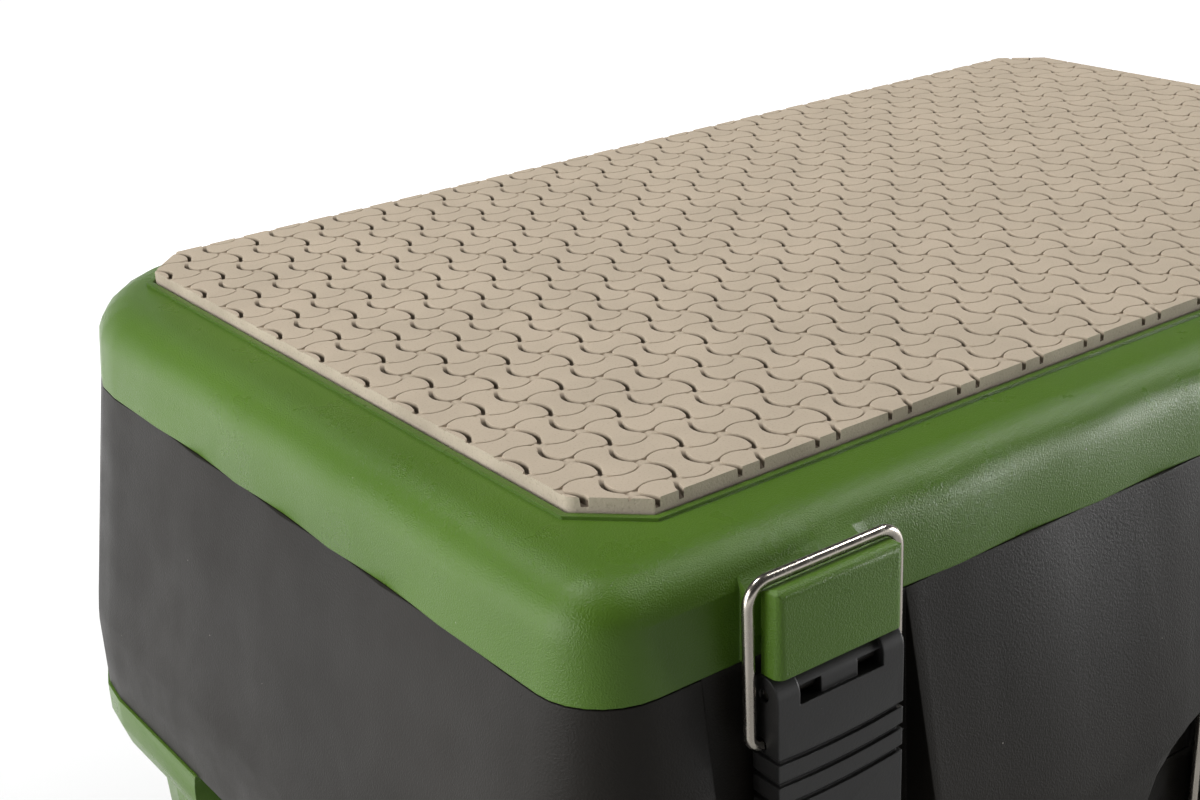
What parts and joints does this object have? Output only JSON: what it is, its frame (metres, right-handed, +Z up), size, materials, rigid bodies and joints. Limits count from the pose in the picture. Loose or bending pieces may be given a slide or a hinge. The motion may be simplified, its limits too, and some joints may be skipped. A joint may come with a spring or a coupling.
{
  "type": "fishing seat box",
  "caption": "Tackle box used as a seat: a deep bin, a tilting tray section and a padded lid, held shut by draw latches with wire bails.",
  "frame": {"origin": "on the floor under the middle of the box's width and depth", "axes": "+X to the box's right along its length, -Y towards the latches at the front, +Z up"},
  "size_m": [0.4074, 0.2638, 0.3],
  "materials": {
    "green_shell": "fine moulded grain, satin",
    "black_shell": "fine moulded grain, satin",
    "divider": "smooth, matte",
    "foam": "closed-cell foam, matte, cut edges",
    "steel": "drawn wire, bright"
  },
  "bodies": {
    "lower": {"lower_body": "green_shell", "latch_liner": "black_shell", "latch_pin_lower": "steel", "section_hinge_pin_left": "steel", "section_hinge_pin_right": "steel"},
    "upper": {"upper_body": "black_shell", "lid_hinge_pin_left": "steel", "lid_hinge_pin_right": "steel", "latch_pin_left": "steel", "latch_pin_right": "steel", "long_divider": "divider", "cross_divider_left": "divider", "cross_divider_right": "divider", "cross_divider_rear": "divider"},
    "lid": {"lid_shell": "green_shell", "seat_pad": "foam"},
    "lever_left": {"latch_lever_left": "black_shell"},
    "bail_left": {"latch_bail_left": "steel"},
    "lever_right": {"latch_lever_right": "black_shell"},
    "bail_right": {"latch_bail_right": "steel"},
    "lever_lower": {"latch_lever_lower": "black_shell"},
    "bail_lower": {"latch_bail_lower": "steel"}
  },
  "joints": [
    {"name": "upper_tilt", "type": "hinge", "parent": "lower", "child": "upper", "pos_m": [0, 0.12755, 0.19495], "axis": [-1, 0, 0], "range_deg": [0, 95]},
    {"name": "lid_open", "type": "hinge", "parent": "upper", "child": "lid", "pos_m": [0, 0.12385, 0.27655], "axis": [-1, 0, 0], "range_deg": [0, 105]},
    {"name": "lever_left_flip", "type": "hinge", "parent": "upper", "child": "lever_left", "pos_m": [-0.1428, -0.12555, 0.2718], "axis": [-1, 0, 0], "range_deg": [0, 90]},
    {"name": "bail_left_swing", "type": "hinge", "parent": "lever_left", "child": "bail_left", "pos_m": [-0.1428, -0.12465, 0.2614], "axis": [-1, 0, 0], "range_deg": [-80, 0]},
    {"name": "lever_right_flip", "type": "hinge", "parent": "upper", "child": "lever_right", "pos_m": [0.1428, -0.12555, 0.2718], "axis": [-1, 0, 0], "range_deg": [0, 90]},
    {"name": "bail_right_swing", "type": "hinge", "parent": "lever_right", "child": "bail_right", "pos_m": [0.1428, -0.12465, 0.2614], "axis": [-1, 0, 0], "range_deg": [-80, 0]},
    {"name": "lever_lower_flip", "type": "hinge", "parent": "lower", "child": "lever_lower", "pos_m": [0, -0.11975, 0.1902], "axis": [-1, 0, 0], "range_deg": [0, 90]},
    {"name": "bail_lower_swing", "type": "hinge", "parent": "lever_lower", "child": "bail_lower", "pos_m": [0, -0.11885, 0.1798], "axis": [-1, 0, 0], "range_deg": [-80, 0]}
  ],
  "couplings": [
    {"joint": "bail_left_swing", "follows": "lever_left_flip", "ratio": -0.82},
    {"joint": "bail_right_swing", "follows": "lever_right_flip", "ratio": -0.82},
    {"joint": "bail_lower_swing", "follows": "lever_lower_flip", "ratio": -0.82}
  ]
}
